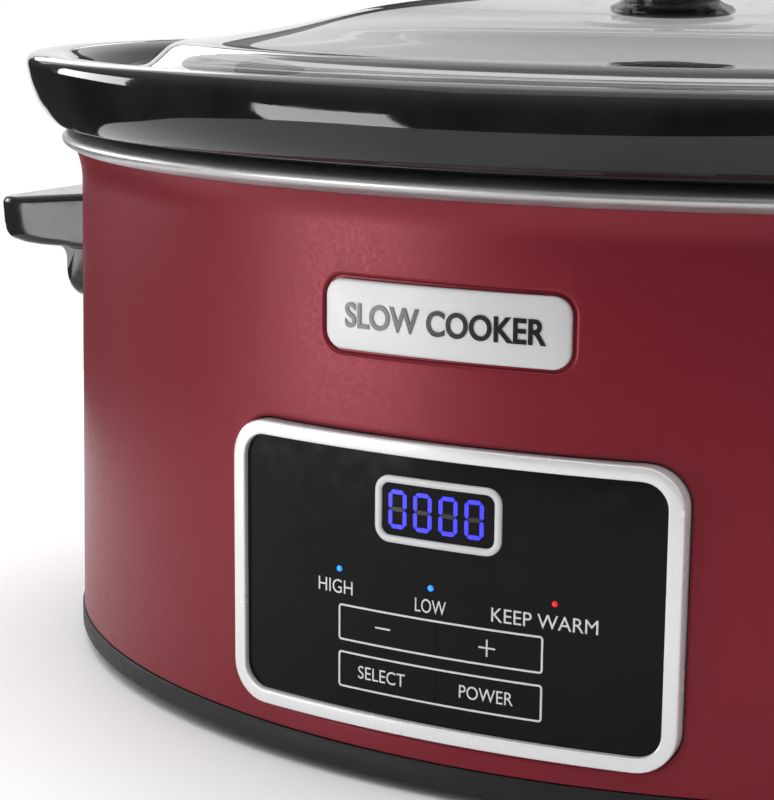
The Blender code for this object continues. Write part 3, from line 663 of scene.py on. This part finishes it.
def add_bezel(material):
    """The plated frame: bevelled inside and out, its face following the panel's bend."""
    bar = BEZEL_BAR
    sections = [(0.15, 4.2), (0.0, 0.4), (0.02, -0.45), (0.12, -0.8), (0.35, -0.98), (0.6, -1.0),
                (bar - 0.55, -1.0), (bar - 0.3, -0.96), (bar - 0.1, -0.75), (bar - 0.02, -0.3), (bar, 0.5),
                (bar, 3.0)]
    rings = []
    for inset, depth in sections:
        width, height = PANEL_WIDTH - 2 * inset, PANEL_HEIGHT - 2 * inset
        outline = rounded(width, height, PANEL_CORNER - inset, PANEL_MIDDLE)
        rings.append([(x, panel_y(x, depth), z) for x, z in outline])
    bezel = loft("bezel_frame", rings, material, closed=True, smooth_angle=60)
    settle(bezel, "housing_body", "chrome", "panel_bezel")


def box_cutter(name, x, z, width, height, material):
    front = -PANEL_FRONT - 5
    corners = [(x - width / 2, z - height / 2), (x + width / 2, z - height / 2),
               (x + width / 2, z + height / 2), (x - width / 2, z + height / 2)]
    rings = [[(u, y, v) for u, v in corners] for y in (front, front + 20)]
    return loft(name, rings, material)


def key_bars():
    """The middle, width and height of each row of two keys."""
    for left, right in KEY_ROWS:
        x_left, z, width, height = front_box(left)
        x_right = front_box(right)[0]
        yield (x_left + x_right) / 2, z, x_right - x_left + width, height


def add_fascia(gloss):
    """The gloss black sheet, open for the keys, the display and the three lamps."""
    inset = BEZEL_BAR + 0.12
    fascia = bent_plate("fascia_sheet", PANEL_WIDTH - 2 * inset, PANEL_HEIGHT - 2 * inset,
                        PANEL_CORNER - inset, PANEL_MIDDLE, FASCIA_FRONT, FASCIA_FRONT + 2.0, bend_y, gloss)
    play = 0.24
    for x, z, width, height in key_bars():
        cut(fascia, box_cutter("bar_cutter", x, z, width + play, height + play, gloss))
    cut(fascia, box_cutter("window_cutter", 0.0, front_box("display_frame")[1], 27.6, 10.6, gloss))
    for name in LAMPS:
        x, _, z = centre_of(name)
        centre = (x, panel_y(x), z)
        cut(fascia, turned("lamp_cutter", [(0.9, -8), (0.9, 12)], centre, gloss, axis="y", count=32))
    settle(fascia, "housing_body", "black_gloss", "control_fascia")


def text_shape(words, cap_height, width, weight=0.0):
    """Upright text as (points, faces), centred, from its cap height, its width and its extra weight."""
    curve = bpy.data.curves.new("words", "FONT")
    curve.body = words
    curve.align_x = "CENTER"
    curve.extrude = 0.5
    curve.offset = weight
    curve.resolution_u = 6
    holder = bpy.data.objects.new("words", curve)
    bpy.context.scene.collection.objects.link(holder)
    bpy.context.view_layer.update()
    mesh = bpy.data.meshes.new_from_object(holder.evaluated_get(bpy.context.evaluated_depsgraph_get()))
    points = np.array([vertex.co for vertex in mesh.vertices])
    faces = [tuple(face.vertices) for face in mesh.polygons]
    bpy.data.objects.remove(holder)
    low, high = points.min(0), points.max(0)
    scale = cap_height / (high[1] - low[1])
    across = width / (high[0] - low[0])
    points[:, 0] = (points[:, 0] - (low[0] + high[0]) / 2) * across
    points[:, 1] = (points[:, 1] - (low[1] + high[1]) / 2) * scale
    return points, faces


def printed(name, shapes, surface, thick, material, lift=0.0):
    """Raised print: each shape is (points, faces, x, z), laid on a curved surface; thick is its height."""
    points, faces = [], []
    for shape_points, shape_faces, x, z in shapes:
        start = len(points)
        for u, v, w in shape_points:
            place = surface(x + u, z + v) - lift - thick * (w + 0.5)
            points.append((x + u, place, z + v))
        faces += [tuple(index + start for index in face) for face in shape_faces]
    return piece(name, points, faces, material, 30)


def flat_ring(width, height, radius, bar):
    """A rounded rectangular outline as a shape for printed(), bar wide."""
    rings = []
    for inset, level in ((0.0, -0.5), (0.0, 0.5), (bar, 0.5), (bar, -0.5)):
        outline = rounded(width - 2 * inset, height - 2 * inset, max(radius - inset, 0.2), 0.0, 0.0, 6, 16)
        rings.append([(x, z, level) for x, z in outline])
    return skin(rings, True)


def flat_bar(width, height):
    """A small rectangle as a shape for printed()."""
    rings = [[(-width / 2, -height / 2, w), (width / 2, -height / 2, w), (width / 2, height / 2, w),
              (-width / 2, height / 2, w)] for w in (-0.5, 0.5)]
    return skin(rings, False)


def bend_y(x, z):
    return panel_y(x)


def fascia_y(x, z):
    return panel_y(x, FASCIA_FRONT)


def add_prints(ink):
    """Key bar outlines and lamp labels, printed in pale ink on the fascia."""
    shapes = []
    margin, radius, line = 1.3, 0.9, 0.5
    for x, z, width, height in key_bars():
        shapes.append((*flat_ring(width + margin, height + margin, radius, line), x, z))
    drop, capital = 4.5, 3.5
    for name, words, shift, width in (("high_lamp", "HIGH", -1.1, 10.2), ("low_lamp", "LOW", 0.1, 8.4),
                                      ("warm_lamp", "KEEP WARM", -2.5, 26.4)):
        x, _, z = centre_of(name)
        shapes.append((*text_shape(words, capital, width), x + shift, z - drop))
    settle(printed("fascia_print", shapes, fascia_y, PRINT_HEIGHT, ink), "housing_body", "white_plastic")


def add_keys(gloss, ink):
    """Key caps flush with the fascia, each with its printed legend."""
    legends = {"minus_key": [(*flat_bar(4.3, 0.42), -1.2, 0.2)],
               "plus_key": [(*flat_bar(4.3, 0.42), -0.1, -0.2), (*flat_bar(0.42, 4.3), -0.1, -0.2)],
               "select_key": [(*text_shape("SELECT", 3.3, 13.4), -1.5, 0.0)],
               "power_key": [(*text_shape("POWER", 3.3, 14.0), -0.2, 0.0)]}
    for name in KEY_ROWS[0] + KEY_ROWS[1]:
        x, z, width, height = front_box(name)
        cap = bent_plate(f"{name}_cap", width + 0.22, height, 0.25, z, FASCIA_FRONT - PRINT_HEIGHT,
                         FASCIA_FRONT + 1.5, bend_y, gloss, 16, x)
        sides = [(1.5, panel_y(x) + FASCIA_FRONT + 1.4), (1.5, rear(name))]
        stem = turned(f"{name}_stem", sides, (x, 0, z), gloss, axis="y", count=24)
        body = f"{name}_body"
        settle(cap, body, "key_caps", name)
        settle(stem, body, "key_caps")
        shapes = [(points, faces, x + u, z + v) for points, faces, u, v in legends[name]]
        legend = printed(f"{name}_legend", shapes, fascia_y, PRINT_HEIGHT, ink, lift=0.05)
        settle(legend, body, "key_caps")


def segment_shape(length, thick):
    """One display segment: a bar with pointed ends, lying along u."""
    half, tip = length / 2, thick / 2
    outline = [(-half, 0), (-half + tip, -tip), (half - tip, -tip), (half, 0), (half - tip, tip),
               (-half + tip, tip)]
    return [[(u, v, w) for u, v in outline] for w in (-0.5, 0.5)]


def digit_shapes(x, z, width, height, thick, lit_segments):
    """Shapes of a seven-segment digit: top, two upper, middle, two lower and bottom bars."""
    gap = 0.28
    level = width - thick
    upright = height / 2 - thick / 2
    places = {"top": (0, upright, False), "middle": (0, 0, False), "bottom": (0, -upright, False)}
    for side, reach in (("left", -level / 2), ("right", level / 2)):
        places[f"upper_{side}"] = (reach, upright / 2, True)
        places[f"lower_{side}"] = (reach, -upright / 2, True)
    shapes = []
    for name in lit_segments:
        u, v, standing = places[name]
        rings = segment_shape((upright if standing else level) - gap, thick)
        if standing:
            rings = [[(b, a, w) for a, b, w in ring] for ring in rings]
        points, faces = skin(rings, False)
        shapes.append((points, faces, x + u, z + v))
    return shapes


def add_display(gloss, trim, glow, ghost):
    """The display's window, its silver trim and four lit zeros."""
    _, middle, width, height = front_box("display_frame")
    radius, bar, edge = 4.0, 1.75, 0.25
    front, back = FASCIA_FRONT - 0.8, FASCIA_FRONT
    sections = [(0.0, back), (0.0, front + edge), (edge, front), (bar - edge, front), (bar, front + edge),
                (bar, back)]
    rings = []
    for inset, depth in sections:
        outline = rounded(width - 2 * inset, height - 2 * inset, radius - inset, middle)
        rings.append([(x, panel_y(x, depth), z) for x, z in outline])
    frame_piece = loft("display_trim", rings, trim, closed=True, smooth_angle=60)
    settle(frame_piece, "housing_body", "silver_plate", "display_frame")
    face = FASCIA_FRONT - 0.06
    window = bent_plate("display_window", width - 2 * bar - 0.1, height - 2 * bar - 0.1, radius - bar, middle,
                        face, FASCIA_FRONT - 0.01, bend_y, gloss)
    settle(window, "housing_body", "black_gloss")
    zero = ("top", "bottom", "upper_left", "upper_right", "lower_left", "lower_right")
    pitch, digit = 6.85, (5.0, 9.6, 1.05)
    digits, unlit = [], []
    for index in range(4):
        x = (index - 1.5) * pitch - 0.6
        digits += digit_shapes(x, middle, *digit, zero)
        unlit += digit_shapes(x, middle, *digit, ("middle",))
    for name, shapes, thick, material, slot in (("display_digits", digits, 0.03, glow, "lamp_blue"),
                                                ("display_unlit", unlit, 0.02, ghost, "black_gloss")):
        settle(printed(name, shapes, lambda x, z: panel_y(x, face), thick, material), "housing_body", slot)


def add_lamps(blue, red):
    for name in LAMPS:
        x, _, z = centre_of(name)
        tip = panel_y(x, FASCIA_FRONT)
        dome = [(0.1, tip - 0.22), (0.4, tip - 0.18), (0.65, tip - 0.06), (0.75, tip + 0.1), (0.75, rear(name))]
        material = red if name == "warm_lamp" else blue
        lamp = turned(f"{name}_dome", dome, (x, 0, z), material, axis="y", count=32)
        settle(lamp, "housing_body", "lamp_red" if name == "warm_lamp" else "lamp_blue", name)


def add_name_plate(plate_material, ink):
    """A bright plate with bevelled edges in its pocket, with plain generic lettering."""
    rings = []
    for inset, depth in ((0.0, 0.5), (0.0, -0.2), (0.12, -0.42), (0.45, -0.55), (0.8, -0.6)):
        width, height = PLATE_WIDTH - 2 * inset, PLATE_HEIGHT - 2 * inset
        outline = rounded(width, height, PLATE_CORNER - inset, PLATE_MIDDLE)
        rings.append([(x, wall_y(x, PLATE_MIDDLE) + depth, z) for x, z in outline])
    plate = piece("plate", *fan_skin(rings), plate_material)
    settle(plate, "housing_body", "silver_plate", "name_plate")
    words = text_shape("SLOW COOKER", 6.2, 53.0, 0.022)
    letters = printed("plate_letters", [(*words, 0.0, PLATE_MIDDLE)],
                      lambda x, z: wall_y(x, PLATE_MIDDLE) - 0.6, 0.25, ink)
    settle(letters, "housing_body", "black_gloss")


# ---------------------------------------------------------------- small parts


def add_feet(rubber):
    for name in [node for node in frame["nodes"] if node.startswith("foot_")]:
        centre = (*centre_of(name)[:2], 0)
        profile = [(7.4, 0), *arc((8.0, 1.0), 1.0, -80, 0, 5), *arc((8.4, 2.1), 0.6, 0, 90, 4),
                   (2.9, 2.7), (2.9, 6.6), (2.2, top(name))]
        settle(turned(f"{name}_pad", profile, centre, rubber, count=48), "housing_body", "rubber", name)


def add_base_screws(steel):
    """Pan-head screws with a cross recess, seen from below."""
    for name in [node for node in frame["nodes"] if node.startswith("base_screw_")]:
        centre = (*centre_of(name)[:2], 0)
        profile = [(1.6, 0.9), (2.7, 1.05), (3.4, 1.6), (3.55, 2.2), (3.55, 2.7), (1.8, 2.7), (1.8, top(name))]
        screw = turned(f"{name}_head", profile, centre, steel, count=40)
        for across, along in ((2.2, 0.35), (0.35, 2.2)):
            rings = [[(centre[0] + u * across, centre[1] + v * along, height)
                      for u, v in ((-1, -1), (1, -1), (1, 1), (-1, 1))] for height in (0.0, 1.7)]
            cut(screw, loft("recess", rings, steel))
        settle(screw, "housing_body", "bare_steel", name)


def add_gland(material):
    centre = (0, HALF_WIDTH, centre_of("cord_gland")[2])
    profile = [(3.6, 2.0), (4.0, 2.4), (7.8, 2.4), (8.7, 1.9), (9.0, 1.0), (9.0, 0.3), (6.5, 0.3),
               (6.5, -5.0), (3.6, -5.0)]
    bush = turned("lead_bush", profile, centre, material, axis="y", count=48, closed=True)
    settle(bush, "housing_body", "black_matt", "cord_gland")


def finish_inner_parts(finishes):
    """Procedural materials for the CAD nodes that stay as they are."""
    for row in frame["record"]["subparts"]:
        node = frame["nodes"][row["node"]]
        if node.hide_render:
            continue
        material = finishes[row["material_slot"]]
        node.data.materials.clear()
        node.data.materials.append(material)


# ---------------------------------------------------------------- studio

# The surround's strength as the glass lets it through
SEEN_THROUGH = 0.58
# The surround's tone as gloss sees it, against the sine of the elevation
SKY_TONES = [(0.0, 0.03), (0.17, 0.12), (0.42, 0.42), (0.80, 0.70)]
# The table top's left, right, front and back edges, in metres
TABLE = (-0.41, 0.70, -0.49, 1.00)
# Soft boxes: name, azimuth from the front, distance, middle height, width, height and radiance
SOFT_BOXES = [
    ("key_box", -39, 1.30, -0.14, 0.51, 0.62, 9.5),
    ("left_streak", -88, 1.30, 0.29, 0.55, 0.26, 8.0),
    ("handle_box", -136, 1.33, 0.13, 0.50, 0.40, 1.0),
    ("lip_box", -130, 1.33, 0.57, 0.50, 0.44, 2.0),
    ("back_panel", -156, 1.70, 1.02, 3.40, 1.10, 0.80),
    ("right_box", 105, 1.50, 0.60, 0.80, 0.80, 1.5),
    ("top_box", -160, 0.05, 1.65, 3.00, 3.00, 1.2),
]


def soft_box(name, azimuth, distance, middle, width, height, radiance, aim=0.12):
    """A rectangular soft box at an azimuth from the front, in metres; radiance is that of its face."""
    turn = math.radians(azimuth)
    place = Vector((math.sin(turn) * distance, -math.cos(turn) * distance, middle))
    light = bpy.data.lights.new(name, "AREA")
    light.shape = "RECTANGLE"
    light.size = width
    light.size_y = height
    light.energy = radiance * math.pi * width * height
    holder = bpy.data.objects.new(name, light)
    holder.location = place
    holder.rotation_euler = (Vector((0, 0, aim)) - place).to_track_quat("-Z", "Y").to_euler()
    holder.visible_camera = False
    holder.visible_transmission = False
    bpy.context.scene.collection.objects.link(holder)


def add_surround():
    """A pale surround, seen directly and through glass; gloss sees it dark low down and pale high up."""
    world = bpy.context.scene.world or bpy.data.worlds.new("surround")
    bpy.context.scene.world = world
    world.use_nodes = True
    tree = world.node_tree
    backdrop = tree.nodes["Background"]
    path = tree.nodes.new("ShaderNodeLightPath")
    seen = tree.nodes.new("ShaderNodeMath")
    seen.operation = "MAXIMUM"
    tree.links.new(path.outputs["Is Camera Ray"], seen.inputs[0])
    tree.links.new(path.outputs["Is Transmission Ray"], seen.inputs[1])
    way = tree.nodes.new("ShaderNodeTexCoord")
    rise = tree.nodes.new("ShaderNodeSeparateXYZ")
    tree.links.new(way.outputs["Generated"], rise.inputs["Vector"])
    dusk = tree.nodes.new("ShaderNodeValToRGB")
    steps = dusk.color_ramp.elements
    for place, _ in SKY_TONES[1:-1]:
        steps.new(place)
    for step, (place, tone) in zip(steps, SKY_TONES):
        step.position = place
        step.color = (tone, tone, tone, 1)
    tree.links.new(rise.outputs["Z"], dusk.inputs["Fac"])
    choice = tree.nodes.new("ShaderNodeMix")
    choice.data_type = "RGBA"
    tree.links.new(seen.outputs["Value"], choice.inputs["Factor"])
    tree.links.new(dusk.outputs["Color"], choice.inputs[6])
    choice.inputs[7].default_value = (1, 1, 1, 1)
    tree.links.new(choice.outputs[2], backdrop.inputs["Color"])
    through = tree.nodes.new("ShaderNodeMapRange")
    through.inputs["To Min"].default_value = 1.0
    through.inputs["To Max"].default_value = SEEN_THROUGH
    tree.links.new(path.outputs["Is Transmission Ray"], through.inputs["Value"])
    tree.links.new(through.outputs["Result"], backdrop.inputs["Strength"])


def add_studio():
    """A pale table top under soft boxes, in a pale surround."""
    made = Surface("table_paper", 0.8)
    made.colour(made.noise(3, 2), (0.92, 0.92, 0.92), (0.95, 0.95, 0.95))
    made.bump(made.noise(500, 2), 0.0001, 0.1)
    left, right, front, back = TABLE
    corner = 0.12
    outline = []
    for x, y, start in ((left, front, 180), (right, front, 270), (right, back, 0), (left, back, 90)):
        middle = (x + math.copysign(corner, -x), y + math.copysign(corner, -y))
        outline += arc(middle, corner, start, start + 90, 8)
    points = [(x / MM, y / MM, height) for height in (-4.0, 0.0) for x, y in outline]
    count = len(outline)
    faces = [(index, (index + 1) % count, count + (index + 1) % count, count + index)
             for index in range(count)]
    faces += [tuple(range(count - 1, -1, -1)), tuple(range(count, 2 * count))]
    piece("table_top", points, faces, made.material)
    add_surround()
    for box in SOFT_BOXES:
        soft_box(*box)
    bpy.context.scene.view_settings.view_transform = "Standard"


CAMERA_AZIMUTH = 21.2
CAMERA_ELEVATION = 9.68
CAMERA_DISTANCE = 0.6472
CAMERA_TURN = 7.15
CAMERA_TIP = 1.73
CAMERA_ROLL = 0.44
CAMERA_LENS = 99.02
AIM_HEIGHT = 0.093


def add_camera():
    """The view's place is an orbit about the body's middle; its aim is turned and tipped off that middle."""
    def back_vector(azimuth, elevation):
        a, e = math.radians(azimuth), math.radians(elevation)
        return Vector((math.sin(a) * math.cos(e), -math.cos(a) * math.cos(e), math.sin(e)))

    place = Vector((0, 0, AIM_HEIGHT)) + back_vector(CAMERA_AZIMUTH, CAMERA_ELEVATION) * CAMERA_DISTANCE
    back = back_vector(CAMERA_AZIMUTH + CAMERA_TURN, CAMERA_ELEVATION + CAMERA_TIP)
    azimuth = math.radians(CAMERA_AZIMUTH + CAMERA_TURN)
    level = Vector((math.cos(azimuth), math.sin(azimuth), 0))
    upright = back.cross(level)
    roll = math.radians(CAMERA_ROLL)
    right = level * math.cos(roll) + upright * math.sin(roll)
    up = upright * math.cos(roll) - level * math.sin(roll)
    camera = bpy.data.cameras.new("camera")
    camera.lens = CAMERA_LENS
    camera.clip_start = 0.01
    camera.clip_end = 20.0
    holder = bpy.data.objects.new("camera", camera)
    holder.matrix_world = Matrix.Translation(place) @ Matrix((right, up, back)).transposed().to_4x4()
    bpy.context.scene.collection.objects.link(holder)
    bpy.context.scene.camera = holder


def main():
    red = red_enamel()
    steel = satin_steel("satin_steel", 0.51, 0.40, 0.9)
    plain_steel = satin_steel("plain_steel", 0.48, 0.38)
    gloss = plastic("gloss_black", 0.004, 0.12, 600, 0.00001, shine=0.12)
    key_gloss = plastic("key_black", 0.004, 0.13, 600, 0.00001, shine=0.12)
    knob_black = plastic("knob_black", 0.010, 0.12, 600, 0.00001)
    handle = plastic("handle_black", 0.018, 0.15, 500, 0.00002, (0.95, 0.95, 1.1), 0.28)
    matt = plastic("matt_black", 0.014, 0.50, shine=0.25)
    rubber = plastic("soft_rubber", 0.020, 0.80, 900, 0.00006)
    white = plastic("white_moulding", 0.62, 0.45, 900, 0.00003, (1.0, 1.0, 0.94))
    board = plastic("board_green", 0.06, 0.45, 700, 0.00002, (0.4, 1.9, 0.9))
    relay = plastic("relay_blue", 0.10, 0.40, 900, 0.00003, (0.2, 0.8, 3.2))
    tape = plastic("amber_tape", 0.30, 0.40, 900, 0.00003, (1.4, 1.0, 0.5))
    silver = silver_paint("silver_paint", 0.66, 0.50)
    pale_ink = printed_ink("pale_ink", 0.72)
    dark_ink = printed_ink("dark_ink", 0.012, 0.25)
    blue_light = lit("blue_light", (0.02, 0.22, 1.0), 1.6)
    red_light = lit("red_light", (0.75, 0.02, 0.01), 0.5)
    digit_light = lit("digit_light", (0.035, 0.03, 0.95), 1.2)
    ghost = printed_ink("unlit_segment", 0.016, 0.3)
    chrome = silver_paint("silver_bezel", 0.82, 0.25, 1.0)
    glaze = black_glaze()
    glass = clear_glass()

    add_housing(red)
    add_rim(steel)
    add_base(matt)
    add_pan(plain_steel)
    add_crock(glaze)
    add_lid(glass)
    add_knob(knob_black, rubber, plain_steel)
    add_handle("handle_left", -1, handle)
    add_handle("handle_right", 1, handle)
    add_bezel(chrome)
    add_fascia(gloss)
    add_prints(pale_ink)
    add_keys(key_gloss, pale_ink)
    add_display(gloss, silver, digit_light, ghost)
    add_lamps(blue_light, red_light)
    add_name_plate(silver, dark_ink)
    add_feet(rubber)
    add_base_screws(plain_steel)
    add_gland(matt)
    finish_inner_parts({
        "bare_steel": plain_steel, "copper_tape": tape, "white_plastic": white, "board_green": board,
        "relay_blue": relay, "black_gloss": gloss, "black_matt": matt, "satin_steel": steel,
        "red_steel": red, "chrome": chrome, "silver_plate": silver, "black_glaze": glaze,
        "clear_glass": glass, "key_caps": key_gloss, "handle_plastic": handle, "knob_plastic": knob_black,
        "rubber": rubber, "lamp_blue": blue_light, "lamp_red": red_light})
    add_studio()
    add_camera()


main()
